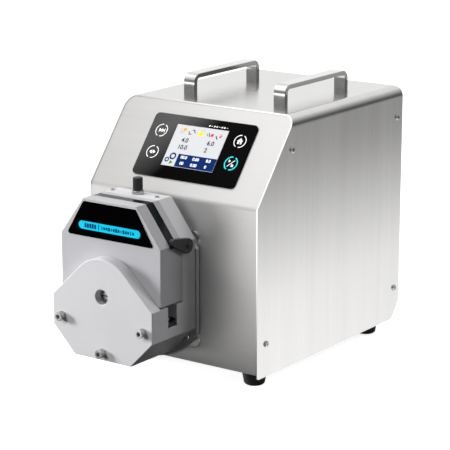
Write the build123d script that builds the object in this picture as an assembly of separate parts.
from build123d import *

import os
from math import acos, atan2, cos, degrees, hypot, pi, radians, sin

# Bench peristaltic pump: stainless cabinet with a roller pump head on the front.
#
# Millimetres, +Z up, the pump head faces -Y. The working coordinates have y = 0 on the
# cabinet's front face and z = 0 on its lower edge; place() moves every piece from there
# to the part's own frame, which is centred and stands on the feet.

os.makedirs("parts", exist_ok=True)

# Cabinet
CABINET_W = 230.0
CABINET_D = 300.0
CABINET_H = 276.5
SLANT_RISE = 91.1  # the slanted face climbs this far to the top sheet
SLANT_D = 73.1  # and leans back this far
BEND_H = CABINET_H - SLANT_RISE
SHEET = 1.5
CORNER_R = 12.7  # outer bend radius along the top edges
SIDE_DROP = 5.3  # side sheets reach below the tray
REAR_CUT_Y = 16.0
REAR_CUT_Z = 20.3
SHEET_GAP = 0.2
PANEL_RECESS = 0.3
FRONT_BEND_R = 9.0
FLANGE = 25.0
REAR_INSET = 2.0
LOW_SCREW = (17.5, 32.0)  # cover screw at the foot of the front, from the front and the lower edge
HIGH_SCREW = (7.0, 36.7)  # cover screw by the slanted face, ahead of its crest and below the top
REAR_SCREWS = (11.6, 32.6, 35.9)  # cover screws at the rear: from the back, lower edge and top

# Feet and handles
FOOT_H = 22.5
FOOT_TOP_R = 15.5
FOOT_BOTTOM_R = 11.3
FOOT_X = CABINET_W / 2 - 26.0
FOOT_Y = (33.0, CABINET_D - 32.0)
FOOT_POCKET_R = 5.6
FOOT_SEAT_Z = -9.0  # where the screw's head bears inside the foot
FOOT_SCREW_HEAD_R = 4.8
NUT_R = 4.6
HANDLE_X = CABINET_W / 2 - 52.5
HANDLE_W = 16.0
HANDLE_T = 5.5
HANDLE_LEN = 131.0
HANDLE_RISE = 22.0
HANDLE_FORWARD = 3.05  # the handles sit this far ahead of the top sheet's middle
HANDLE_Y = (SLANT_D + CABINET_D - HANDLE_LEN) / 2 - HANDLE_FORWARD
HANDLE_SCREW_DX = 4.5

# Display on the slanted face, measured along the slope from the bend
GLASS = (140.0, 78.5)
GLASS_AT = (5.2, 58.9)
GLASS_T = 1.5
SCREEN = (70.0, 52.0)
SCREEN_AT = (4.9, 60.9)
SCREEN_GAP = 0.1  # between the screen's back and its module
SCREEN_SINK = 0.15  # the screen lies this far below the glass
MODULE_BORDER = (16.0, 12.0)
BOARD = (150.0, 76.0)
BOARD_AT = (4.9, 50.0)
BOARD_LOW = -24.0
BOARD_T = 1.6
BOARD_HOLES = (70.0, 33.0)

# Pump head
HEAD_X = -31.5
AXIS_Z = 84.2
HEAD_HALF_W = 69.0
HEAD_BOTTOM = 12.8
HEAD_BOTTOM_HALF = 39.4
HEAD_LOW_SIDE = 43.0
HEAD_SHOULDER = 144.5
HEAD_TOP = 187.5
HEAD_TOP_HALF = 37.0
LEDGE_TOP = 77.8
CROWN_R = 43.0
HEAD_FRONT_Y = -85.1
PLATE_BACK_Y = -69.6
SPLIT_Y = -49.0
REAR_BODY_Y = -31.0
HEAD_BACK_Y = -7.2
ADAPTER_FRONT_Y = -6.4
ADAPTER_BACK_Y = -1.8
ADAPTER_R = 85.0
ADAPTER_HALF_W = 70.2
BOSS_R = 58.0
DRIVE_HOLE_R = 30.0
SLOT_Y = (-56.6, -40.8)
SLOT_BOTTOM = 54.0
SLOT_FLOOR = 62.0

# Rotor and tube path
BED_T = 3.0
ROLLER_R = 11.0
ROLLER_ORBIT = 37.0
TUBE_SQUEEZED = 6.0  # room for the flattened tube between a roller and the bed
BED_R = ROLLER_ORBIT + ROLLER_R + TUBE_SQUEEZED
CAVITY_R = ROLLER_ORBIT + ROLLER_R + 2.0
CHEEK_R = 36.0
CHEEK_Y = -64.0
DISC_R = 44.0
DISC_T = 4.0
ROTOR_FRONT_Y = -63.2
ROTOR_BACK_Y = -33.2
ROLLER_GAP = 0.5
SHAFT_R = 6.0
SHAFT_MIDDLE_R = SHAFT_R + 1.5
SHAFT_BACK_R = SHAFT_R + 2.5
SHAFT_MOUTH_R = SHAFT_R + 2.4
OUTPUT_R = 5.9
KEY_RISE = 1.4
OUTPUT_BEARING = (11.9, 10.0)
ROLLER_PIN_R = 3.0
RUNNING = 0.05
FRONT_BEARING = (14.0, 8.0)
REAR_BEARING = (17.5, 9.0)

# Jaw and its drive
JAW_GAP = 0.5
JAW_BOTTOM = 80.5
BAND_Y = (-53.0, -40.0)
BAND_DEPTH = 8.0
BAND_SINK = 0.4
LABEL_Z = (HEAD_SHOULDER + 0.4, HEAD_TOP - 3.3)
LABEL_HALF = (HEAD_HALF_W - 9.0, HEAD_TOP_HALF - 1.0)
PILL = (42.6, 4.5)
PILL_Z = HEAD_SHOULDER + 12.9
CAM_Y = -26.5
CAM_Z = 141.0
CAM_SHAFT_R = 4.0
PINION_TEETH = 12
PINION_MODULE = 1.25
PINION_X = (46.0, 54.0)
GUIDE_R = 3.0
GUIDE_X = HEAD_HALF_W - 6.0
GUIDE_Y = (-62.5, -36.0)
LEVER_T = 5.5
LEVER_HUB_R = 8.5
LEVER_TIP_R = 3.8
LEVER_TIP = (-51.0, 149.5)
LEVER_GAP = 0.5
LEVER_SCREW_R = 1.5
PLUNGER_Y = -19.0
PLUNGER_PIN_R = 2.5
KNOB_R = 5.7
KNOB_Z = (192.0, 206.0)
COLLAR_R = 6.8
COLLAR_STEM_R = 4.9
SET_SCREW_R = 2.5
SET_SCREW_PROUD = 1.2
SET_SCREW_AT = (34.0, -21.0, 28.0)

# Drive unit
BRACKET_Y = (2.2, 8.2)
GEARBOX_Y = (8.2, 66.0)
MOTOR_Y = (66.0, 152.0)
SUPPLY = (70.0, 155.0, 40.0)
SUPPLY_Y = FOOT_Y[0] + 15.0  # clear of the foot screws' nuts
DRIVER_Y = (70.0, 210.0)
DRIVER_TOP = 130.0

# Fasteners: shank radius, clearance of a shank in its hole
FIT = 0.1
M4 = 2.0
M5 = 2.5
M6 = 3.0
M8 = 4.0

CAP_SCREW_Z = 54.5
CAP_SCREW_X = 56.3
LOW_SCREW_Z = 21.3
CAP_HEAD = (5.0, 6.0)
CAP_WASHER = (5.2, 1.6)
ADAPTER_HEAD = (5.0, 2.8)
EDGE_BREAK = 0.6  # chamfer on the head's front edges

# Rear panel fittings
PANEL_OUT_Y = CABINET_D - REAR_INSET
FAN_BACK_Y = PANEL_OUT_Y - SHEET
FAN_X, FAN_Z = -42.0, CABINET_H - 80.5
FAN_HALF = 40.0
FAN_BORE_R = 38.2
FAN_PITCH = 35.75
FAN_PIN_R = 2.0
INLET_X, INLET_Z = 62.0, 62.0
INLET_HALF = (14.0, 12.0)
ROCKER_X, ROCKER_Z = 62.0, 112.0
ROCKER_HALF = (11.0, 15.0)
ROCKER_WALL = 2.5
ROCKER_PIN_R = 1.5
PORT_X, PORT_Z = -10.0, 62.0
PORT_HALF = (9.5, 5.5)
CUTOUT_GAP = 0.4

FRONT_MOST_Y = HEAD_FRONT_Y - CAP_HEAD[1] - CAP_WASHER[1]
REAR_MOST_Y = PANEL_OUT_Y + 3.6
Y_CENTRE = -(FRONT_MOST_Y + REAR_MOST_Y) / 2
SLANT_DEG = degrees(atan2(CABINET_H - BEND_H, SLANT_D))
INNER_W = CABINET_W - 2 * (SHEET + SHEET_GAP)


def place(shape, name):
    """Move a piece to the part's frame and write it out."""
    moved = Pos(0, Y_CENTRE, FOOT_H) * shape
    moved.label = name
    export_step(moved, "parts/" + name + ".step")


def box(x0, x1, y0, y1, z0, z1):
    centre = Pos((x0 + x1) / 2, (y0 + y1) / 2, (z0 + z1) / 2)
    return centre * Box(x1 - x0, y1 - y0, z1 - z0)


def rod_x(r, x0, x1, y, z):
    return Pos((x0 + x1) / 2, y, z) * Rot(0, 90, 0) * Cylinder(r, x1 - x0)


def rod_y(r, y0, y1, x, z):
    return Pos(x, (y0 + y1) / 2, z) * Rot(90, 0, 0) * Cylinder(r, y1 - y0)


def rod_z(r, z0, z1, x, y):
    return Pos(x, y, (z0 + z1) / 2) * Cylinder(r, z1 - z0)


def prism_y(points, y0, y1):
    """Extrude an outline drawn in x and z."""
    face = make_face(Plane.XZ * Polyline(*points, close=True))
    return Pos(0, y1, 0) * extrude(face, amount=y1 - y0, dir=(0, -1, 0))


def prism_x(points, x0, x1):
    """Extrude an outline drawn in y and z."""
    face = make_face(Plane.YZ * Polyline(*points, close=True))
    return Pos(x0, 0, 0) * extrude(face, amount=x1 - x0, dir=(1, 0, 0))


def both_sides(shape):
    """A piece and its mirror image about the head's middle plane."""
    return shape + mirror(shape, about=Plane.YZ.offset(HEAD_X))


def slant_plane(lift=0.0):
    a = radians(SLANT_DEG)
    normal = (0, -sin(a), cos(a))
    return Plane(origin=(0, 0, BEND_H), x_dir=(1, 0, 0), z_dir=normal).offset(lift)


def slab_on_slant(size, centre, low, high, radius=0.0):
    """A plate lying on the slanted face between two heights above it."""
    sketch = RectangleRounded(*size, radius) if radius else Rectangle(*size)
    return extrude(slant_plane(low) * Pos(*centre) * sketch, amount=high - low)


# ---------------------------------------------------------------- cabinet


def cabinet_outline():
    """The cabinet seen from the side, as y and z."""
    return [
        (0, -SIDE_DROP),
        (0, BEND_H),
        (SLANT_D, CABINET_H),
        (CABINET_D, CABINET_H),
        (CABINET_D, REAR_CUT_Z - SIDE_DROP),
        (CABINET_D - REAR_CUT_Y, -SIDE_DROP),
    ]


def section(inset, y0, y1):
    """The cabinet's rounded cross section, drawn in by an inset."""
    half = CABINET_W / 2 - inset
    body = box(-half, half, y0, y1, -40, CABINET_H - inset)
    top_edges = body.edges().filter_by(Axis.Y).group_by(Axis.Z)[-1]
    return fillet(top_edges, CORNER_R - inset)


def side_screw_spots():
    high = (SLANT_D - HIGH_SCREW[0], CABINET_H - HIGH_SCREW[1])
    rear_y = CABINET_D - REAR_SCREWS[0]
    return (LOW_SCREW, high, (rear_y, REAR_SCREWS[1]), (rear_y, CABINET_H - REAR_SCREWS[2]))


def make_cover():
    block = prism_x(cabinet_outline(), -CABINET_W / 2, CABINET_W / 2)
    across = block.edges().filter_by(Axis.X)
    block = fillet(across.group_by(Axis.Z)[0], 4.0)
    rear = block.edges().filter_by(Axis.X).sort_by(Axis.Y)[-2:]
    block = fillet(rear, 5.0)
    cover = block & (section(0, -5, CABINET_D + 5) - section(SHEET, -10, CABINET_D + 10))
    for y, z in side_screw_spots():
        cover -= rod_x(M4 + FIT, -CABINET_W, CABINET_W, y, z)
    return cover - handle_holes()


def handle_holes():
    holes = [rod_z(M4 + FIT, CABINET_H - 5, CABINET_H + 8, x, y) for x, y in handle_screw_spots()]
    return Compound(holes)


def handle_screw_spots():
    legs = (HANDLE_Y + HANDLE_T / 2, HANDLE_Y + HANDLE_LEN - HANDLE_T / 2)
    across = (-HANDLE_SCREW_DX, HANDLE_SCREW_DX)
    return [(side * HANDLE_X + dx, y) for side in (-1, 1) for y in legs for dx in across]


def make_front_panel():
    a = radians(SLANT_DEG)
    outer = PANEL_RECESS
    rise = (CABINET_H - BEND_H) / SLANT_D
    half_turn = (pi / 2 - a) / 2

    def bend(depth):
        """The corner between the upright and slanted faces at a depth behind the skin."""
        return (depth, BEND_H - depth * sin(half_turn) / cos(half_turn))

    def crest(depth, reach):
        y0, z0 = bend(depth)
        return (y0 + reach, z0 + reach * rise)

    inner = outer + SHEET
    past = SLANT_D + 17
    outline = [(outer, 0), bend(outer), crest(outer, past), crest(inner, past), bend(inner), (inner, 0)]
    panel = prism_x(outline, -INNER_W / 2, INNER_W / 2)
    out_y, out_z = bend(outer)
    in_y, in_z = bend(inner)
    skin = panel.edges().filter_by(Axis.X).sort_by_distance((0, out_y, out_z))[0]
    panel = fillet(skin, FRONT_BEND_R)
    back = panel.edges().filter_by(Axis.X).sort_by_distance((0, in_y, in_z))[0]
    panel = fillet(back, FRONT_BEND_R - SHEET)
    low = [(outer + 0.5, 4), (outer + 0.5, BEND_H - 8), (outer + 6, BEND_H + 2)]
    high = [crest(outer + 1.2, SLANT_D - 5), crest(outer + FLANGE, SLANT_D - 7)]
    flange = low + high + [bend(outer + FLANGE), (outer + FLANGE, 4)]
    half = INNER_W / 2
    for side in (-1, 1):
        edges = sorted((side * half, side * (half - SHEET)))
        panel += prism_x(flange, *edges)
    panel &= section(SHEET + SHEET_GAP, -5, CABINET_D)
    for y, z in side_screw_spots()[:2]:
        panel -= rod_x(M4 + FIT, -CABINET_W, CABINET_W, y, z)
    panel -= rod_y(DRIVE_HOLE_R, -5, 10, HEAD_X, AXIS_Z)
    for x, z in rim_spots():
        panel -= rod_y(M8 + FIT, -5, 10, x, z)
    window = (SCREEN[0] + 4, SCREEN[1] + 4)
    return panel - slab_on_slant(window, SCREEN_AT, -6, 2)


def rim_spots():
    return [(HEAD_X + sx * 62.0, AXIS_Z + sz * 58.0) for sx in (-1, 1) for sz in (-1, 1)]


def make_tray():
    front = PANEL_RECESS + SHEET + SHEET_GAP
    rear = CABINET_D - REAR_CUT_Y - 3
    half = INNER_W / 2
    floor = box(-half, half, front, rear, 0, SHEET)
    lip_y = CABINET_D - 4.5
    lip_z = REAR_CUT_Z - SIDE_DROP
    slope = [(rear - 1, 0), (rear, 0), (lip_y, lip_z + 0.5), (lip_y, lip_z + 3.0), (rear - 1, SHEET)]
    tray = floor + prism_x(slope, -half, half)
    for side in (-1, 1):
        x0, x1 = sorted((side * half, side * (half - SHEET)))
        tray += box(x0, x1, 30, rear - 12, 0, 22)
    for x, y in foot_spots():
        tray -= rod_z(M5 + FIT, -5, 5, x, y)
    for row in range(9):
        y = rear - 31 - 9 * row
        tray -= box(-62, -12, y, y + 4, -1, 3)
    return tray


def foot_spots():
    return [(x, y) for y in FOOT_Y for x in (-FOOT_X, FOOT_X)]


def make_foot(x, y):
    profile = Polyline((0, -FOOT_H), (FOOT_BOTTOM_R, -FOOT_H), (FOOT_TOP_R, 0), (0, 0), close=True)
    foot = revolve(make_face(Plane.XZ * profile), Axis.Z)
    foot = fillet(foot.edges().group_by(Axis.Z)[0], 3.6)
    foot -= rod_z(FOOT_POCKET_R, -FOOT_H - 1, FOOT_SEAT_Z, 0, 0)
    foot -= rod_z(M5 + FIT, -12, 1, 0, 0)
    return Pos(x, y, 0) * foot


def make_foot_screws():
    """The screw and nut of each foot."""
    screws = []
    for x, y in foot_spots():
        head = rod_z(FOOT_SCREW_HEAD_R, FOOT_SEAT_Z - 3.2, FOOT_SEAT_Z, x, y)
        head = fillet(head.edges().group_by(Axis.Z)[0], 1.4)
        head -= box(x - 0.6, x + 0.6, y - 3, y + 3, FOOT_SEAT_Z - 3.5, FOOT_SEAT_Z - 1.8)
        head -= box(x - 3, x + 3, y - 0.6, y + 0.6, FOOT_SEAT_Z - 3.5, FOOT_SEAT_Z - 1.8)
        screws.append(head + rod_z(M5, FOOT_SEAT_Z - 0.5, SHEET + 6.0, x, y))
        nut = Pos(x, y, SHEET) * extrude(RegularPolygon(NUT_R, 6), amount=4.0)
        screws.append(nut - rod_z(M5 + FIT, 0, 8, x, y))
    return Compound(screws)


def make_cover_screws():
    screws = []
    for side in (-1, 1):
        for y, z in side_screw_spots():
            out = CABINET_W / 2
            head = rod_x(3.6, out, out + 2.0, 0, 0)
            head = fillet(head.edges().group_by(Axis.X)[-1], 1.5)
            head -= box(out + 1.1, out + 3, -0.45, 0.45, -2.2, 2.2)
            head -= box(out + 1.1, out + 3, -2.2, 2.2, -0.45, 0.45)
            screw = head + rod_x(M4, out - 8, out + 0.5, 0, 0)
            turned = screw if side > 0 else Rot(0, 0, 180) * screw
            screws.append(Pos(0, y, z) * turned)
    return Compound(screws)


def make_handle(side):
    y0, y1 = HANDLE_Y, HANDLE_Y + HANDLE_LEN
    top = CABINET_H + HANDLE_RISE
    x = side * HANDLE_X
    outer = box(x - HANDLE_W / 2, x + HANDLE_W / 2, y0, y1, CABINET_H, top)
    outer = fillet(outer.edges().filter_by(Axis.X).group_by(Axis.Z)[-1], 10.5)
    hollow = box(x - HANDLE_W, x + HANDLE_W, y0 + HANDLE_T, y1 - HANDLE_T, CABINET_H - 20, top - HANDLE_T)
    hollow = fillet(hollow.edges().filter_by(Axis.X).group_by(Axis.Z)[-1], 5.0)
    handle = outer - hollow
    handle = chamfer(handle.edges().filter_by(Axis.Y), 0.6)
    for sx, sy in handle_screw_spots():
        if sx * side > 0:
            handle -= rod_z(M4 + FIT, CABINET_H - 1, CABINET_H + 10, sx, sy)
    return handle


def make_handle_screws():
    under = CABINET_H - SHEET
    screws = []
    for x, y in handle_screw_spots():
        head = rod_z(3.6, under - 2.6, under, x, y)
        head -= Pos(x, y, under - 3.5) * extrude(RegularPolygon(1.4, 6), amount=2.4)
        screws.append(head + rod_z(M4, under - 0.5, CABINET_H + 8, x, y))
    return Compound(screws)


# ---------------------------------------------------------------- display


def make_display_glass():
    glass = slab_on_slant(GLASS, GLASS_AT, -PANEL_RECESS, GLASS_T - PANEL_RECESS, 5.5)
    window = (SCREEN[0] + 0.4, SCREEN[1] + 0.4)
    return glass - slab_on_slant(window, SCREEN_AT, -3, 4)


def make_display_screen():
    behind = PANEL_RECESS + SHEET + SCREEN_GAP
    return slab_on_slant(SCREEN, SCREEN_AT, -behind, GLASS_T - PANEL_RECESS - SCREEN_SINK)


def make_display_module():
    depth = PANEL_RECESS + SHEET + 2 * SCREEN_GAP
    size = (SCREEN[0] + MODULE_BORDER[0], SCREEN[1] + MODULE_BORDER[1])
    return slab_on_slant(size, SCREEN_AT, -depth - 5.0, -depth)


def make_control_board():
    top = BOARD_LOW + BOARD_T
    board = slab_on_slant(BOARD, BOARD_AT, BOARD_LOW, top)
    processor = ((18, 18), (-40, 60), 2.2)
    memory = ((14, 14), (30, 35), 1.8)
    connectors = (((34, 9), (55, 75), 8.0), ((26, 12), (-30, 22), 7.0))
    for size, centre, tall in (processor, memory, *connectors):
        board += slab_on_slant(size, centre, BOARD_LOW + 1.0, top + tall)
    for centre in board_corners():
        board -= slab_on_slant((3.4, 3.4), centre, BOARD_LOW - 1, BOARD_LOW + 3, 1.69)
    return board


def board_corners():
    dx, dy = BOARD_HOLES
    return [(BOARD_AT[0] + sx * dx, BOARD_AT[1] + sy * dy) for sx in (-1, 1) for sy in (-1, 1)]


def make_board_standoffs():
    top = -PANEL_RECESS - SHEET - 0.1
    posts = []
    for centre in board_corners():
        post = slab_on_slant((6, 6), centre, BOARD_LOW + BOARD_T, top, 2.9)
        pin = slab_on_slant((3, 3), centre, BOARD_LOW - 1.4, BOARD_LOW + BOARD_T + 0.2, 1.49)
        posts.append(post + pin)
    return Compound(posts)


# ---------------------------------------------------------------- pump head


def head_points(top):
    """Lower part of the head's outline up to a given height."""
    return [
        (HEAD_X - HEAD_HALF_W, top),
        (HEAD_X - HEAD_HALF_W, HEAD_LOW_SIDE),
        (HEAD_X - HEAD_BOTTOM_HALF, HEAD_BOTTOM),
        (HEAD_X + HEAD_BOTTOM_HALF, HEAD_BOTTOM),
        (HEAD_X + HEAD_HALF_W, HEAD_LOW_SIDE),
        (HEAD_X + HEAD_HALF_W, top),
    ]


def shoulder_points():
    """Upper part of the head's outline, from the right shoulder to the left one."""
    return [
        (HEAD_X + HEAD_HALF_W, HEAD_SHOULDER),
        (HEAD_X + HEAD_TOP_HALF, HEAD_TOP),
        (HEAD_X - HEAD_TOP_HALF, HEAD_TOP),
        (HEAD_X - HEAD_HALF_W, HEAD_SHOULDER),
    ]


def crowned_plate(y0, y1):
    """The front plate: straight flanks tangent to a round crown about the axis."""
    dx, dz = HEAD_HALF_W, LEDGE_TOP - AXIS_Z
    turn = atan2(dz, dx) + acos(CROWN_R / hypot(dx, dz))
    tx, tz = CROWN_R * cos(turn), CROWN_R * sin(turn)
    top = [(HEAD_X + tx, AXIS_Z + tz), (HEAD_X - tx, AXIS_Z + tz)]
    return prism_y(head_points(LEDGE_TOP) + top, y0, y1) + rod_y(CROWN_R, y0, y1, HEAD_X, AXIS_Z)


def cap_screw_spots():
    return ((HEAD_X - CAP_SCREW_X, CAP_SCREW_Z), (HEAD_X + CAP_SCREW_X, CAP_SCREW_Z), (HEAD_X, LOW_SCREW_Z))


def slot_cut(y0, y1):
    """The tube's way in: shallow next to the rotor, deeper outside where the clamp sits."""
    inner = box(HEAD_X + 40, HEAD_X + 62, y0, y1, SLOT_FLOOR, LEDGE_TOP + 5)
    outer = box(HEAD_X + 60.5, HEAD_X + HEAD_HALF_W + 5, y0, y1, SLOT_BOTTOM, LEDGE_TOP + 5)
    return both_sides(inner) + both_sides(outer)


def guide_holes(y):
    return both_sides(rod_z(GUIDE_R + FIT, 56, 90, HEAD_X + GUIDE_X, y))


def break_front_edge(shape):
    """Chamfer the outline of a piece's foremost face."""
    front = shape.faces().sort_by(Axis.Y)[0]
    return chamfer(front.outer_wire().edges(), EDGE_BREAK)


def make_front_body():
    body = break_front_edge(crowned_plate(HEAD_FRONT_Y, PLATE_BACK_Y))
    body += prism_y(head_points(LEDGE_TOP), PLATE_BACK_Y - 1, SPLIT_Y)
    body -= rod_y(CHEEK_R, PLATE_BACK_Y, CHEEK_Y, HEAD_X, AXIS_Z)
    body -= rod_y(CAVITY_R, CHEEK_Y, SPLIT_Y + 1, HEAD_X, AXIS_Z)
    body -= slot_cut(SLOT_Y[0], SPLIT_Y + 1)
    body -= rod_y(SHAFT_MOUTH_R, HEAD_FRONT_Y - 1, PLATE_BACK_Y, HEAD_X, AXIS_Z)
    seat_r, seat_depth = FRONT_BEARING
    body -= rod_y(seat_r + RUNNING, PLATE_BACK_Y - seat_depth, PLATE_BACK_Y, HEAD_X, AXIS_Z)
    for x, z in cap_screw_spots():
        body -= rod_y(M6 + FIT, HEAD_FRONT_Y - 1, SPLIT_Y + 1, x, z)
    body -= guide_holes(GUIDE_Y[0])
    rims = body.edges().filter_by(GeomType.CIRCLE)
    lip = [e for e in rims if abs(e.center().Y - HEAD_FRONT_Y) < 0.01]
    mouth = [e for e in lip if abs(e.radius - SHAFT_MOUTH_R) < 0.01]
    return chamfer(mouth, 0.8)


def pinion_pocket(y0, y1, z0, z1):
    return both_sides(box(HEAD_X + PINION_X[0] - 1, HEAD_X + PINION_X[1] + 1, y0, y1, z0, z1))


def make_rear_body():
    outline = head_points(HEAD_SHOULDER)[1:-1] + shoulder_points()
    body = break_front_edge(prism_y(outline, REAR_BODY_Y, HEAD_BACK_Y))
    body += prism_y(head_points(LEDGE_TOP), SPLIT_Y, REAR_BODY_Y + 1)
    body += rod_y(BOSS_R, HEAD_BACK_Y - 1, ADAPTER_FRONT_Y, HEAD_X, AXIS_Z)
    body -= rod_y(CAVITY_R, SPLIT_Y - 1, REAR_BODY_Y, HEAD_X, AXIS_Z)
    body -= slot_cut(SPLIT_Y - 1, SLOT_Y[1])
    seat_r, seat_depth = REAR_BEARING
    body -= rod_y(seat_r + RUNNING, REAR_BODY_Y - 1, REAR_BODY_Y + seat_depth, HEAD_X, AXIS_Z)
    body -= rod_y(SHAFT_BACK_R + 1.5, REAR_BODY_Y, 0, HEAD_X, AXIS_Z)
    for x, z in cap_screw_spots():
        body -= rod_y(M6 + FIT, SPLIT_Y - 1, -20, x, z)
    body -= guide_holes(GUIDE_Y[1])
    body -= rod_x(CAM_SHAFT_R + RUNNING, HEAD_X - 65, HEAD_X + 80, CAM_Y, CAM_Z)
    body -= pinion_pocket(REAR_BODY_Y - 1, CAM_Y + 10, CAM_Z - 10, CAM_Z + 10)
    body -= rod_z(PLUNGER_PIN_R + 0.3, CAM_Z + 5, HEAD_TOP + 1, HEAD_X, PLUNGER_Y)
    body -= rod_z(COLLAR_STEM_R + FIT, HEAD_TOP - 14, HEAD_TOP + 1, HEAD_X, PLUNGER_Y)
    for x, z in adapter_spots():
        body -= rod_y(ADAPTER_HEAD[0] + 1.4, ADAPTER_FRONT_Y - ADAPTER_HEAD[1] - 1.3, 0, x, z)
    for x, y in set_screw_spots():
        body -= rod_z(SET_SCREW_R + FIT, HEAD_TOP - 12, HEAD_TOP + 1, x, y)
    return body


def set_screw_spots():
    """The two screws in the top of the rear body, left and right of the pull knob."""
    return ((HEAD_X - SET_SCREW_AT[0], SET_SCREW_AT[1]), (HEAD_X + SET_SCREW_AT[2], SET_SCREW_AT[1]))


def adapter_spots():
    return [(HEAD_X + sx * 56.5, AXIS_Z + sz * 54.0) for sx in (-1, 1) for sz in (-1, 1)]


def make_adapter_plate():
    plate = rod_y(ADAPTER_R, ADAPTER_FRONT_Y, ADAPTER_BACK_Y, HEAD_X, AXIS_Z)
    plate &= box(HEAD_X - ADAPTER_HALF_W, HEAD_X + ADAPTER_HALF_W, -20, 20, -20, 200)
    plate += rod_y(BOSS_R, ADAPTER_BACK_Y - 1, PANEL_RECESS, HEAD_X, AXIS_Z)
    plate -= rod_y(20.0, -20, 20, HEAD_X, AXIS_Z)
    for x, z in adapter_spots():
        plate -= rod_y(M5 + FIT, -20, 20, x, z)
    return plate


def hex_socket(x, y0, y1, z, across):
    """A hexagonal recess along y."""
    ring = [(x + across / 3**0.5 * cos(k * pi / 3), z + across / 3**0.5 * sin(k * pi / 3)) for k in range(6)]
    return prism_y(ring, y0, y1)


def make_adapter_screws():
    screws = []
    for x, z in adapter_spots():
        head = rod_y(ADAPTER_HEAD[0], ADAPTER_FRONT_Y - ADAPTER_HEAD[1], ADAPTER_FRONT_Y, x, z)
        head = fillet(head.edges().group_by(Axis.Y)[0], 1.2)
        head -= hex_socket(x, ADAPTER_FRONT_Y - 3, ADAPTER_FRONT_Y - 1.4, z, 3.0)
        screws.append(head + rod_y(M5, ADAPTER_FRONT_Y - 0.5, ADAPTER_BACK_Y - 0.1, x, z))
    return Compound(screws)


def make_bracket_bolts():
    bolts = []
    for x, z in rim_spots():
        head = rod_y(8.7, ADAPTER_BACK_Y + 0.2, PANEL_RECESS, x, z)
        head = fillet(head.edges().group_by(Axis.Y)[0], 0.6)
        bolts.append(head + rod_y(M8, PANEL_RECESS - 0.5, BRACKET_Y[1] - 0.5, x, z))
    return Compound(bolts)


def make_body_screws():
    """The head's cap screws with their washers, and the two small screws in its top."""
    screws = []
    tip = HEAD_FRONT_Y - CAP_WASHER[1] - CAP_HEAD[1]
    for x, z in cap_screw_spots():
        head = rod_y(CAP_HEAD[0], tip, tip + CAP_HEAD[1], x, z)
        head = chamfer(head.edges().group_by(Axis.Y)[0], 0.5)
        head -= hex_socket(x, tip - 1, tip + 3.2, z, 5.0)
        screws.append(head + rod_y(M6, tip + CAP_HEAD[1] - 0.5, -22, x, z))
        ring = rod_y(CAP_WASHER[0], HEAD_FRONT_Y - CAP_WASHER[1], HEAD_FRONT_Y, x, z)
        screws.append(ring - rod_y(M6 + FIT, HEAD_FRONT_Y - 5, HEAD_FRONT_Y + 5, x, z))
    for x, y in set_screw_spots():
        screws.append(make_set_screw(x, y))
    return Compound(screws)


def make_set_screw(x, y):
    screw = rod_z(SET_SCREW_R, HEAD_TOP - 10, HEAD_TOP + SET_SCREW_PROUD, x, y)
    screw = fillet(screw.edges().group_by(Axis.Z)[-1], 0.5)
    socket = Pos(x, y, HEAD_TOP + SET_SCREW_PROUD - 2.0) * extrude(RegularPolygon(1.4, 6), amount=3.0)
    return screw - socket


def ring_y(r_in, r_out, y0, y1):
    ring = rod_y(r_out, y0, y1, HEAD_X, AXIS_Z)
    return ring - rod_y(r_in, y0 - 1, y1 + 1, HEAD_X, AXIS_Z)


def make_shaft_bearings():
    """Front and rear bearings of the pump shaft and the gearbox's output bearing."""
    front = ring_y(SHAFT_R + RUNNING, FRONT_BEARING[0], PLATE_BACK_Y - FRONT_BEARING[1], PLATE_BACK_Y)
    rear = ring_y(SHAFT_BACK_R + RUNNING, REAR_BEARING[0], REAR_BODY_Y, REAR_BODY_Y + REAR_BEARING[1])
    out_r, out_depth = OUTPUT_BEARING
    output = ring_y(OUTPUT_R + RUNNING, out_r, GEARBOX_Y[0] + 1, GEARBOX_Y[0] + 1 + out_depth)
    return Compound([front, rear, output])


def make_guide_pins():
    pins = []
    for y in GUIDE_Y:
        for side in (-1, 1):
            pin = rod_z(GUIDE_R, 56.2, 118, HEAD_X + side * GUIDE_X, y)
            pins.append(chamfer(pin.edges().group_by(Axis.Z)[-1], 0.8))
    return Compound(pins)


def make_tube_clamps():
    clamps = []
    for side in (-1, 1):
        x0, x1 = sorted((HEAD_X + side * 61, HEAD_X + side * 67.5))
        block = box(x0, x1, SLOT_Y[0] + 0.2, SLOT_Y[1] - 0.2, SLOT_BOTTOM, SLOT_BOTTOM + 8)
        groove = rod_x(7.6, x0 - 1, x1 + 1, (SLOT_Y[0] + SLOT_Y[1]) / 2, SLOT_BOTTOM + 12)
        clamps.append(block - groove)
    return Compound(clamps)


# ---------------------------------------------------------------- rotor


def make_pump_shaft():
    front = rod_y(SHAFT_R, -77.0, ROTOR_FRONT_Y, HEAD_X, AXIS_Z)
    front = chamfer(front.edges().group_by(Axis.Y)[0], 1.0)
    front -= box(HEAD_X - 7, HEAD_X + 7, -78, -75, AXIS_Z - 0.9, AXIS_Z + 0.9)
    middle = rod_y(SHAFT_MIDDLE_R, ROTOR_FRONT_Y - 1, ROTOR_BACK_Y + 0.5, HEAD_X, AXIS_Z)
    back = rod_y(SHAFT_BACK_R, ROTOR_BACK_Y, 5.0, HEAD_X, AXIS_Z)
    bore = rod_y(OUTPUT_R + FIT, -16, 6, HEAD_X, AXIS_Z)
    keyway = box(HEAD_X - 1.6, HEAD_X + 1.6, -16, 6, AXIS_Z, AXIS_Z + OUTPUT_R + KEY_RISE + FIT)
    return front + middle + back - bore - keyway


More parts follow.
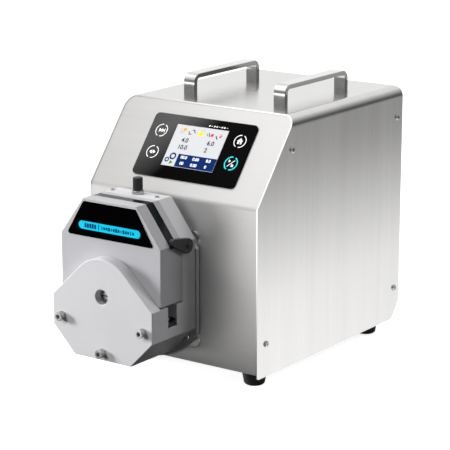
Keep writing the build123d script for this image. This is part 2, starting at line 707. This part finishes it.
def make_gearbox_shaft():
    shaft = rod_y(OUTPUT_R, -15, 40, HEAD_X, AXIS_Z)
    return shaft + box(HEAD_X - 1.5, HEAD_X + 1.5, -14, 3, AXIS_Z, AXIS_Z + OUTPUT_R + KEY_RISE)


def roller_spots():
    angles = [pi / 2 + k * 2 * pi / 3 for k in range(3)]
    return [(HEAD_X + ROLLER_ORBIT * cos(a), AXIS_Z + ROLLER_ORBIT * sin(a)) for a in angles]


def make_carrier(y0, y1):
    disc = ring_y(SHAFT_MIDDLE_R + RUNNING, DISC_R, y0, y1)
    for x, z in roller_spots():
        disc -= rod_y(ROLLER_PIN_R + FIT, y0 - 1, y1 + 1, x, z)
    for k in range(3):
        a = pi / 6 + k * 2 * pi / 3
        disc -= rod_y(7.0, y0 - 1, y1 + 1, HEAD_X + 25 * cos(a), AXIS_Z + 25 * sin(a))
    return disc


def make_rotor_discs():
    front = make_carrier(ROTOR_FRONT_Y, ROTOR_FRONT_Y + DISC_T)
    return Compound([front, make_carrier(ROTOR_BACK_Y - DISC_T, ROTOR_BACK_Y)])


def make_roller_pins():
    y0, y1 = ROTOR_FRONT_Y + 0.2, ROTOR_BACK_Y - 0.2
    return Compound([rod_y(ROLLER_PIN_R, y0, y1, x, z) for x, z in roller_spots()])


def make_roller(x, z):
    y0 = ROTOR_FRONT_Y + DISC_T + ROLLER_GAP
    y1 = ROTOR_BACK_Y - DISC_T - ROLLER_GAP
    roller = rod_y(ROLLER_R, y0, y1, x, z)
    roller = fillet(roller.edges().filter_by(GeomType.CIRCLE), 1.0)
    return roller - rod_y(ROLLER_PIN_R + RUNNING, y0 - 1, y1 + 1, x, z)


# ---------------------------------------------------------------- jaw


def band_shell():
    """What lies within the band's depth of the jaw's top and bevels."""
    return [
        (HEAD_X + HEAD_HALF_W - BAND_DEPTH, HEAD_SHOULDER - 3),
        (HEAD_X + HEAD_TOP_HALF - 4, HEAD_TOP - BAND_DEPTH),
        (HEAD_X - HEAD_TOP_HALF + 4, HEAD_TOP - BAND_DEPTH),
        (HEAD_X - HEAD_HALF_W + BAND_DEPTH, HEAD_SHOULDER - 3),
    ]


def jaw_outline(bottom):
    low = [(HEAD_X - HEAD_HALF_W, bottom), (HEAD_X + HEAD_HALF_W, bottom)]
    return low + shoulder_points()


def band_ring(y0, y1, sink):
    """The strip under the jaw's top and bevels, its outer faces sunk by a depth."""
    ring = prism_y(jaw_outline(HEAD_SHOULDER - 3), y0, y1)
    ring -= prism_y(band_shell(), y0 - 1, y1 + 1)
    if not sink:
        return ring
    lowered = Pos(0, 0, -sink * 1.1) * prism_y(jaw_outline(HEAD_SHOULDER - 30), y0 - 1, y1 + 1)
    reach = HEAD_HALF_W - sink
    return ring & lowered & box(HEAD_X - reach, HEAD_X + reach, -200, 50, -100, 300)


def make_jaw_block():
    front, back = PLATE_BACK_Y + JAW_GAP, REAR_BODY_Y - JAW_GAP
    jaw = break_front_edge(prism_y(jaw_outline(JAW_BOTTOM), front, back))
    jaw -= rod_y(CHEEK_R, front - 1, CHEEK_Y, HEAD_X, AXIS_Z)
    jaw -= rod_y(BED_R + BED_T + 0.1, CHEEK_Y, back + 1, HEAD_X, AXIS_Z)
    jaw -= band_ring(BAND_Y[0], BAND_Y[1], 0)
    for y in GUIDE_Y:
        jaw -= both_sides(rod_z(GUIDE_R + RUNNING, 70, 134, HEAD_X + GUIDE_X, y))
    return jaw - pinion_pocket(back - 6.5, back + 1, CAM_Z - 21, CAM_Z + 16)


def make_band_strip():
    return band_ring(BAND_Y[0] + 0.1, BAND_Y[1] - 0.1, BAND_SINK)


def make_occlusion_bed():
    bed = ring_y(BED_R, BED_R + BED_T, CHEEK_Y + 0.2, REAR_BODY_Y - JAW_GAP - 1.2)
    return bed & box(HEAD_X - 80, HEAD_X + 80, -100, 0, JAW_BOTTOM + 0.5, 200)


def make_label_plate():
    front = PLATE_BACK_Y + JAW_GAP
    low, high = LABEL_Z
    wide, narrow = LABEL_HALF
    corners = [(HEAD_X - wide, low), (HEAD_X + wide, low), (HEAD_X + narrow, high), (HEAD_X - narrow, high)]
    plate = prism_y(corners, front - 0.8, front)
    plate = fillet(plate.edges().filter_by(Axis.Y), 2.5)
    return plate - make_pill(0.15)


def make_pill(gap=0.0):
    """The printed strip on the label, or the hole that it lies in."""
    front = PLATE_BACK_Y + JAW_GAP
    half, r = PILL[0] + gap, PILL[1] + gap
    x0, x1 = HEAD_X - half + r, HEAD_X + half - r
    pill = box(x0, x1, front - 1.0, front, PILL_Z - r, PILL_Z + r)
    pill += rod_y(r, front - 1.0, front, x0, PILL_Z)
    return pill + rod_y(r, front - 1.0, front, x1, PILL_Z)


def rack_solid(x0, x1):
    """A toothed bar whose teeth face the pinion."""
    pitch = pi * PINION_MODULE
    line = CAM_Y - PINION_MODULE * PINION_TEETH / 2
    back = REAR_BODY_Y - JAW_GAP - 6.3
    z0, z1 = CAM_Z - 20.0, CAM_Z + 14.0
    root, tip = line - 1.5, line + 1.1
    points = [(back, z0), (root, z0)]
    count = int((z1 - z0) / pitch)
    start = CAM_Z - pitch * int((CAM_Z - z0 - 2) / pitch) + pitch / 2 - pitch
    for k in range(count):
        z = start + k * pitch
        if z - 1.5 <= z0 or z + 1.5 >= z1:
            continue
        points += [(root, z - 1.25), (tip, z - 0.38), (tip, z + 0.38), (root, z + 1.25)]
    points += [(root, z1), (back, z1)]
    return prism_x(points, x0, x1)


def make_jaw_racks():
    x0, x1 = PINION_X[0] + 0.4, PINION_X[1] - 0.4
    return Compound([rack_solid(HEAD_X + x0, HEAD_X + x1), rack_solid(HEAD_X - x1, HEAD_X - x0)])


# ---------------------------------------------------------------- cam lever and plunger


def make_pinion(x0, x1):
    pitch_r = PINION_MODULE * PINION_TEETH / 2
    gear = rod_x(pitch_r - 1.5, x0, x1, CAM_Y, CAM_Z)
    step = 2 * pi / PINION_TEETH
    for k in range(PINION_TEETH):
        a = pi + k * step
        flank = [(pitch_r - 2.2, 1.15), (pitch_r, 0.72), (pitch_r + 1.1, 0.35)]
        local = flank + [(r, -w) for r, w in reversed(flank)]
        points = [(CAM_Y + r * cos(a) - w * sin(a), CAM_Z + r * sin(a) + w * cos(a)) for r, w in local]
        gear += prism_x(points, x0, x1)
    return gear - rod_x(CAM_SHAFT_R + FIT, x0 - 1, x1 + 1, CAM_Y, CAM_Z)


def make_cam_pinions():
    x0, x1 = PINION_X
    return Compound([make_pinion(HEAD_X + x0, HEAD_X + x1), make_pinion(HEAD_X - x1, HEAD_X - x0)])


def make_cam_shaft():
    return rod_x(CAM_SHAFT_R, HEAD_X - 64.5, HEAD_X + HEAD_HALF_W + 3.0, CAM_Y, CAM_Z)


def make_cam_lever():
    x0 = HEAD_X + HEAD_HALF_W + LEVER_GAP
    x1 = x0 + LEVER_T
    ty, tz = LEVER_TIP
    dy, dz = ty - CAM_Y, tz - CAM_Z
    length = hypot(dy, dz)
    lean = atan2(dz, dy)
    open_angle = acos((LEVER_HUB_R - LEVER_TIP_R) / length)

    def touch(y, z, r, side):
        """Where a straight flank meets the rounding about a centre."""
        angle = lean + side * open_angle
        return (y + r * cos(angle), z + r * sin(angle))

    upper = [touch(CAM_Y, CAM_Z, LEVER_HUB_R, 1), touch(ty, tz, LEVER_TIP_R, 1)]
    lower = [touch(ty, tz, LEVER_TIP_R, -1), touch(CAM_Y, CAM_Z, LEVER_HUB_R, -1)]
    arm = prism_x(upper + lower, x0, x1)
    lever = arm + rod_x(LEVER_HUB_R, x0, x1, CAM_Y, CAM_Z) + rod_x(LEVER_TIP_R, x0, x1, ty, tz)
    rim = lever.faces().filter_by(Axis.X).sort_by(Axis.X)[-1].edges()
    lever = fillet(rim, 1.2)
    lever -= rod_x(CAM_SHAFT_R + FIT, x0 - 1, x0 + 3.0, CAM_Y, CAM_Z)
    return lever - rod_x(LEVER_SCREW_R + FIT, x0, x1 + 1, CAM_Y, CAM_Z)


def make_lever_screw():
    out = HEAD_X + HEAD_HALF_W + LEVER_GAP + LEVER_T
    head = rod_x(3.0, out, out + 1.6, CAM_Y, CAM_Z)
    head = fillet(head.edges().group_by(Axis.X)[-1], 1.0)
    head -= box(out + 0.8, out + 3, CAM_Y - 2, CAM_Y + 2, CAM_Z - 0.4, CAM_Z + 0.4)
    return head + rod_x(LEVER_SCREW_R, out - 2.3, out + 0.5, CAM_Y, CAM_Z)


def make_plunger_collar():
    collar = rod_z(COLLAR_R, HEAD_TOP, HEAD_TOP + 4.2, HEAD_X, PLUNGER_Y)
    collar = fillet(collar.edges().group_by(Axis.Z)[-1], 0.8)
    collar += rod_z(COLLAR_STEM_R, HEAD_TOP - 13, HEAD_TOP + 1, HEAD_X, PLUNGER_Y)
    return collar - rod_z(PLUNGER_PIN_R + RUNNING, HEAD_TOP - 20, HEAD_TOP + 10, HEAD_X, PLUNGER_Y)


def make_plunger_knob():
    knob = rod_z(KNOB_R, KNOB_Z[0], KNOB_Z[1], HEAD_X, PLUNGER_Y)
    knob = fillet(knob.edges().group_by(Axis.Z)[-1], 1.0)
    return knob - rod_z(PLUNGER_PIN_R + FIT, KNOB_Z[0] - 1, KNOB_Z[1] - 4, HEAD_X, PLUNGER_Y)


def make_plunger_pin():
    pin = rod_z(PLUNGER_PIN_R, CAM_Z + 9.4, KNOB_Z[1] - 4.2, HEAD_X, PLUNGER_Y)
    return chamfer(pin.edges().group_by(Axis.Z)[0], 1.0)


# ---------------------------------------------------------------- drive unit and electrics


def make_bracket():
    x0, x1 = HEAD_X - 75, HEAD_X + 75
    bracket = box(x0, x1, BRACKET_Y[0], BRACKET_Y[1], SHEET, 160)
    bracket += box(HEAD_X - 51, HEAD_X + 60, BRACKET_Y[0], 56, SHEET, SHEET + 6)
    bracket -= rod_y(34.0, -5, 20, HEAD_X, AXIS_Z)
    for x, z in rim_spots():
        bracket -= rod_y(M8 + FIT, -5, 20, x, z)
    for side in (-1, 1):
        x = HEAD_X + side * 48
        rib = [(BRACKET_Y[1] - 1, SHEET + 5), (50, SHEET + 5), (BRACKET_Y[1] - 1, 60)]
        bracket += prism_x(rib, x - 2.5, x + 2.5)
    return bracket


def make_gearbox():
    y0, y1 = GEARBOX_Y
    body = rod_y(42.0, y0 + 8, y1, HEAD_X, AXIS_Z)
    flange = box(HEAD_X - 45, HEAD_X + 45, y0, y0 + 9, AXIS_Z - 45, AXIS_Z + 45)
    flange = fillet(flange.edges().filter_by(Axis.Y), 6)
    body += flange
    body -= rod_y(OUTPUT_BEARING[0] + FIT, y0 - 1, y0 + 36, HEAD_X, AXIS_Z)
    return body


def make_motor():
    y0, y1 = MOTOR_Y
    body = box(HEAD_X - 43, HEAD_X + 43, y0, y1, AXIS_Z - 43, AXIS_Z + 43)
    body = fillet(body.edges().filter_by(Axis.Y), 8)
    for k in range(6):
        y = y0 + 14 + 10 * k
        ring = box(HEAD_X - 50, HEAD_X + 50, y, y + 3, AXIS_Z - 50, AXIS_Z + 50)
        core = box(HEAD_X - 41.5, HEAD_X + 41.5, y - 1, y + 4, AXIS_Z - 41.5, AXIS_Z + 41.5)
        body -= ring - core
    return body


def make_power_supply():
    x1 = CABINET_W / 2 - 9.0
    x0 = x1 - SUPPLY[0]
    y0, y1 = SUPPLY_Y, SUPPLY_Y + SUPPLY[1]
    top = SHEET + SUPPLY[2]
    supply = box(x0, x1, y0, y1, SHEET, top)
    for k in range(12):
        y = y0 + 12 + 11 * k
        supply -= box(x0 - 6, x0 + 2, y, y + 5, SHEET + 8.5, top - 7.5)
        supply -= box(x0 + 8, x1 - 8, y, y + 5, top - 2.5, top + 3.5)
    return supply


def make_motor_driver():
    """The motor's amplifier: a finned heat sink on two legs beside the tray's flange."""
    x0 = -(INNER_W / 2 - SHEET - 3.8)
    y0, y1 = DRIVER_Y
    driver = box(x0, x0 + 4, y0, y1, 30, DRIVER_TOP)
    for k in range(12):
        z = 34 + 8 * k
        driver += box(x0 + 3.5, x0 + 16, y0, y1, z, z + 2.5)
    for y in (y0 + 10, y1 - 20):
        driver += box(x0 - 3, x0 + 1, y, y + 10, SHEET, DRIVER_TOP)
    return driver


def make_rear_panel():
    y1 = PANEL_OUT_Y
    y0 = y1 - SHEET
    half = INNER_W / 2
    low = REAR_CUT_Z - SIDE_DROP + 4.0
    panel = box(-half, half, y0, y1, low, CABINET_H) & section(SHEET + SHEET_GAP, 0, CABINET_D + 5)
    for side in (-1, 1):
        x0, x1 = sorted((side * half, side * (half - SHEET)))
        panel += box(x0, x1, y1 - FLANGE, y1, low + 7, CABINET_H - 16)
    for y, z in side_screw_spots()[2:]:
        panel -= rod_x(M4 + FIT, -CABINET_W, CABINET_W, y, z)
    panel -= rod_y(FAN_BORE_R - 0.2, y0 - 2, y1 + 2, FAN_X, FAN_Z)
    for x, z in fan_screw_spots():
        panel -= rod_y(M4 + FIT, y0 - 2, y1 + 2, x, z)
    panel -= block_y(INLET_X, INLET_Z, INLET_HALF, y0 - 2, y1 + 2)
    panel -= block_y(ROCKER_X, ROCKER_Z, ROCKER_HALF, y0 - 2, y1 + 2)
    return panel - block_y(PORT_X, PORT_Z, PORT_HALF, y0 - 2, y1 + 2)


def block_y(x, z, half, y0, y1, grow=0.0):
    """A block about a point of the rear panel, wider or narrower all round by an amount."""
    dx, dz = half[0] + grow, half[1] + grow
    return box(x - dx, x + dx, y0, y1, z - dz, z + dz)


def fan_screw_spots():
    return [(FAN_X + sx * FAN_PITCH, FAN_Z + sz * FAN_PITCH) for sx in (-1, 1) for sz in (-1, 1)]


def make_fan_frame():
    y0, y1 = FAN_BACK_Y - 25, FAN_BACK_Y
    frame = block_y(FAN_X, FAN_Z, (FAN_HALF, FAN_HALF), y0, y1)
    frame -= rod_y(FAN_BORE_R, y0 - 1, y1 + 1, FAN_X, FAN_Z)
    frame += rod_y(16, y0, y0 + 4, FAN_X, FAN_Z)
    for k in range(3):
        a = 90 + 120 * k
        strut = box(-2, 2, y0, y0 + 3, 14, 39)
        frame += Pos(FAN_X, 0, FAN_Z) * Rot(0, a, 0) * strut
    frame += rod_y(FAN_PIN_R, y0 + 2, y1 - 6, FAN_X, FAN_Z)
    for x, z in fan_screw_spots():
        frame -= rod_y(M4 + FIT, y1 - 12, y1 + 1, x, z)
    return frame


def make_fan_rotor():
    y0, y1 = FAN_BACK_Y - 20, FAN_BACK_Y - 4
    rotor = rod_y(17, y0, y1, FAN_X, FAN_Z)
    for k in range(7):
        flat = box(-9.5, 9.5, -0.7, 0.7, 15, FAN_BORE_R - 1.7)
        blade = Pos(0, (y0 + y1) / 2, 0) * Rot(0, 0, 32) * flat
        rotor += Pos(FAN_X, 0, FAN_Z) * Rot(0, 360 / 7 * k, 0) * blade
    rotor &= rod_y(FAN_BORE_R - 1.4, y0, y1, FAN_X, FAN_Z)
    return rotor - rod_y(FAN_PIN_R + RUNNING, y0 - 1, y1 - 1.5, FAN_X, FAN_Z)


def make_fan_guard():
    y0 = PANEL_OUT_Y
    rings = None
    for r in (8, 16, 24, 32, 39):
        torus = Pos(FAN_X, y0 + 2.0, FAN_Z) * Rot(90, 0, 0) * Torus(r, 1.0)
        rings = torus if rings is None else rings + torus
    for x, z in fan_screw_spots():
        dx, dz = x - FAN_X, z - FAN_Z
        reach = hypot(dx, dz)
        bar = box(7, reach - 3.8, -0.8, 0.8, -1.0, 1.0)
        rings += Pos(FAN_X, y0 + 1.6, FAN_Z) * Rot(0, -degrees(atan2(dz, dx)), 0) * bar
        rings += rod_y(4.2, y0, y0 + 1.6, x, z)
    for x, z in fan_screw_spots():
        rings -= rod_y(M4 + FIT, y0 - 2, y0 + 6, x, z)
    return rings


def make_fan_screws():
    out = PANEL_OUT_Y + 1.6
    screws = []
    for x, z in fan_screw_spots():
        head = rod_y(3.4, out, out + 2.0, x, z)
        head = fillet(head.edges().group_by(Axis.Y)[-1], 1.2)
        head -= box(x - 2, x + 2, out + 1.0, out + 3, z - 0.4, z + 0.4)
        screws.append(head + rod_y(M4, out - 12, out + 0.5, x, z))
    return Compound(screws)


def make_power_inlet():
    out = PANEL_OUT_Y
    body = block_y(INLET_X, INLET_Z, INLET_HALF, out - 26, out + 0.5, -CUTOUT_GAP)
    rim = block_y(INLET_X, INLET_Z, INLET_HALF, out, out + 2.2, 3.0)
    body += fillet(rim.edges().filter_by(Axis.Y), 3)
    body -= block_y(INLET_X, INLET_Z, INLET_HALF, out - 18, out + 5, -3.0)
    for dx, dz in ((-7, -2), (0, 2.5), (7, -2)):
        body += box(INLET_X + dx - 1, INLET_X + dx + 1, out - 20, out - 3, INLET_Z + dz - 2, INLET_Z + dz + 2)
    return body


def make_rocker_frame():
    out = PANEL_OUT_Y
    frame = block_y(ROCKER_X, ROCKER_Z, ROCKER_HALF, out - 20, out + 0.5, -CUTOUT_GAP)
    frame += block_y(ROCKER_X, ROCKER_Z, ROCKER_HALF, out, out + 2.0, 2.0)
    frame -= block_y(ROCKER_X, ROCKER_Z, ROCKER_HALF, out - 16, out + 5, -ROCKER_WALL)
    half = ROCKER_HALF[0] - 1.5
    return frame + rod_x(ROCKER_PIN_R, ROCKER_X - half, ROCKER_X + half, out - 8, ROCKER_Z)


def make_rocker():
    """The rocker, tipped to its off side about the pin inside the frame."""
    out = PANEL_OUT_Y
    outline = [(-4, -4), (4.5, -10.8), (8.6, -10.8), (7.4, 0), (8.6, 10.8), (4.5, 10.8), (-4, 4)]
    half = ROCKER_HALF[0] - ROCKER_WALL - 0.7
    rocker = prism_x(outline, ROCKER_X - half, ROCKER_X + half)
    rocker -= rod_x(ROCKER_PIN_R + RUNNING, ROCKER_X - 12, ROCKER_X + 12, 0, 0)
    return Pos(0, out - 8, ROCKER_Z) * Rot(-9, 0, 0) * rocker


def make_signal_port():
    out = PANEL_OUT_Y
    shell = block_y(PORT_X, PORT_Z, PORT_HALF, out - 10, out + 2.4, -CUTOUT_GAP + 0.1)
    shell += box(PORT_X - 15, PORT_X + 15, out, out + 1.2, PORT_Z - 6.2, PORT_Z + 6.2)
    shell -= block_y(PORT_X, PORT_Z, PORT_HALF, out - 6, out + 5, -1.5)
    for row, count in ((-1.5, 7), (1.5, 8)):
        for k in range(count):
            x = PORT_X + (k - (count - 1) / 2) * 2.0
            shell += rod_y(0.4, out - 7, out + 1.0, x, PORT_Z + row)
    return shell


def export_all():
    place(make_cover(), "housing_cover")
    place(make_front_panel(), "front_panel")
    place(make_tray(), "bottom_tray")
    place(make_rear_panel(), "rear_panel")
    place(make_cover_screws(), "cover_screws")
    place(make_handle(-1), "handle_left")
    place(make_handle(1), "handle_right")
    place(make_handle_screws(), "handle_screws")
    names = ("foot_front_left", "foot_front_right", "foot_rear_left", "foot_rear_right")
    for name, (x, y) in zip(names, foot_spots()):
        place(make_foot(x, y), name)
    place(make_foot_screws(), "foot_screws")
    place(make_display_glass(), "display_glass")
    place(make_display_screen(), "display_screen")
    place(make_display_module(), "display_module")
    place(make_control_board(), "control_board")
    place(make_board_standoffs(), "board_standoffs")
    place(make_front_body(), "head_front_body")
    place(make_rear_body(), "head_rear_body")
    place(make_adapter_plate(), "adapter_plate")
    place(make_adapter_screws(), "adapter_screws")
    place(make_bracket_bolts(), "bracket_bolts")
    place(make_body_screws(), "head_cap_screws")
    place(make_shaft_bearings(), "shaft_bearings")
    place(make_guide_pins(), "jaw_guide_pins")
    place(make_tube_clamps(), "tube_clamps")
    place(make_plunger_collar(), "plunger_collar")
    place(make_pump_shaft(), "pump_shaft")
    place(make_gearbox_shaft(), "gearbox_output_shaft")
    place(make_rotor_discs(), "rotor_discs")
    place(make_roller_pins(), "roller_pins")
    for k, (x, z) in enumerate(roller_spots()):
        place(make_roller(x, z), "roller_%d" % (k + 1))
    place(make_jaw_block(), "jaw_block")
    place(make_band_strip(), "jaw_band_strip")
    place(make_occlusion_bed(), "occlusion_bed")
    place(make_label_plate(), "label_plate")
    place(make_pill(), "label_pill")
    place(make_jaw_racks(), "jaw_racks")
    place(make_cam_shaft(), "cam_shaft")
    place(make_cam_pinions(), "cam_pinions")
    place(make_cam_lever(), "cam_lever")
    place(make_lever_screw(), "lever_screw")
    place(make_plunger_knob(), "plunger_knob")
    place(make_plunger_pin(), "plunger_pin")
    place(make_bracket(), "motor_bracket")
    place(make_gearbox(), "gearbox")
    place(make_motor(), "motor")
    place(make_power_supply(), "power_supply")
    place(make_motor_driver(), "motor_driver")
    place(make_fan_frame(), "fan_frame")
    place(make_fan_rotor(), "fan_rotor")
    place(make_fan_guard(), "fan_guard")
    place(make_fan_screws(), "fan_screws")
    place(make_power_inlet(), "power_inlet")
    place(make_rocker_frame(), "rocker_frame")
    place(make_rocker(), "rocker")
    place(make_signal_port(), "signal_port")


export_all()
